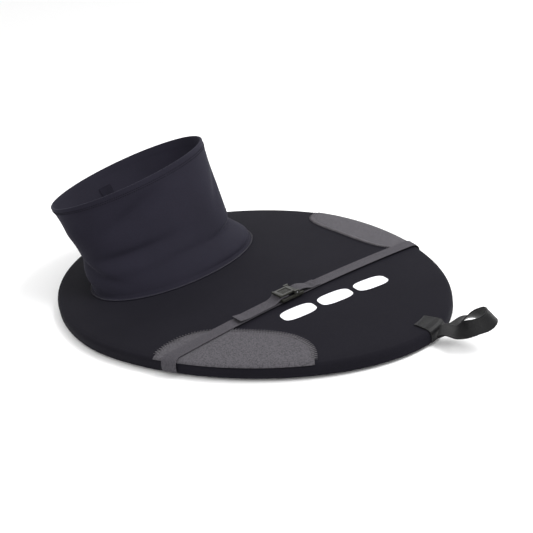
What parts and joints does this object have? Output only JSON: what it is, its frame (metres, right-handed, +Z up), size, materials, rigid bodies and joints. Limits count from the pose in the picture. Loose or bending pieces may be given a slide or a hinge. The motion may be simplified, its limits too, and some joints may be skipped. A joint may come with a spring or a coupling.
{
  "type": "kayak spray skirt",
  "caption": "Neoprene cockpit deck with an elastic rolled rim, a waist tunnel, a cross strap with a cam buckle, side patches and a bow grab loop.",
  "frame": {"origin": "on the plane the rolled rim rests on, under the middle of the whole skirt's box", "axes": "+X to the bow, where the grab loop is, +Y to port, +Z up through the deck"},
  "size_m": [0.9298, 0.59, 0.2162],
  "materials": {
    "deck_neoprene": "matt nylon jersey on neoprene, near black",
    "tunnel_neoprene": "softer jersey, near black with a blue cast",
    "patch_fabric": "coarse woven abrasion cloth, mid grey",
    "grey_webbing": "flat woven webbing, grey",
    "black_webbing": "flat woven webbing, black, slightly glossy",
    "shock_cord": "braided sheath, black",
    "seam_tape": "bonded stretch tape, black",
    "grip_rubber": "rubber print, satin",
    "buckle_plastic": "moulded plastic, dark olive grey, satin",
    "spring_steel": "stainless, satin",
    "deck_print": "heat-bonded film, white"
  },
  "bodies": {
    "deck": {"deck_panel": "deck_neoprene", "rim_sleeve": "deck_neoprene", "rim_cord": "shock_cord", "grip_strip": "grip_rubber", "abrasion_patch_starboard": "patch_fabric", "abrasion_patch_port": "patch_fabric", "loop_anchor_patch": "black_webbing", "tunnel_flare": "tunnel_neoprene", "tunnel_base_tape": "seam_tape", "strap_port": "grey_webbing", "strap_starboard": "grey_webbing", "buckle_frame": "buckle_plastic", "lever_pin": "spring_steel", "lever_spring": "spring_steel", "print_bar_1": "deck_print", "print_bar_2": "deck_print", "print_bar_3": "deck_print"},
    "tunnel": {"tunnel_tube": "tunnel_neoprene", "tunnel_top_hem": "tunnel_neoprene", "tunnel_back_tape": "seam_tape"},
    "loop": {"grab_loop": "black_webbing"},
    "lever": {"cam_lever": "buckle_plastic"},
    "tail": {"strap_tail": "grey_webbing"}
  },
  "joints": [
    {"name": "tunnel_lean", "type": "hinge", "parent": "deck", "child": "tunnel", "pos_m": [-0.22222, -0.02786, 0.05], "axis": [0, 1, 0], "range_deg": [-4, 24], "stiffness_Nm_per_rad": 8},
    {"name": "grab_loop_swing", "type": "hinge", "parent": "deck", "child": "loop", "pos_m": [0.38412, 0.014, 0.019], "axis": [0, -1, 0], "range_deg": [-16, 85]},
    {"name": "cam_lever_open", "type": "hinge", "parent": "deck", "child": "lever", "pos_m": [0.11536, -0.02869, 0.04545], "axis": [-0.9891, 0.1475, 0], "range_deg": [0, 70], "stiffness_Nm_per_rad": 0.02, "springref_deg": -20.05},
    {"name": "strap_tail_pull", "type": "slide", "parent": "deck", "child": "tail", "axis": [-0.1475, -0.9891, 0], "range_m": [0, 0.03]}
  ]
}
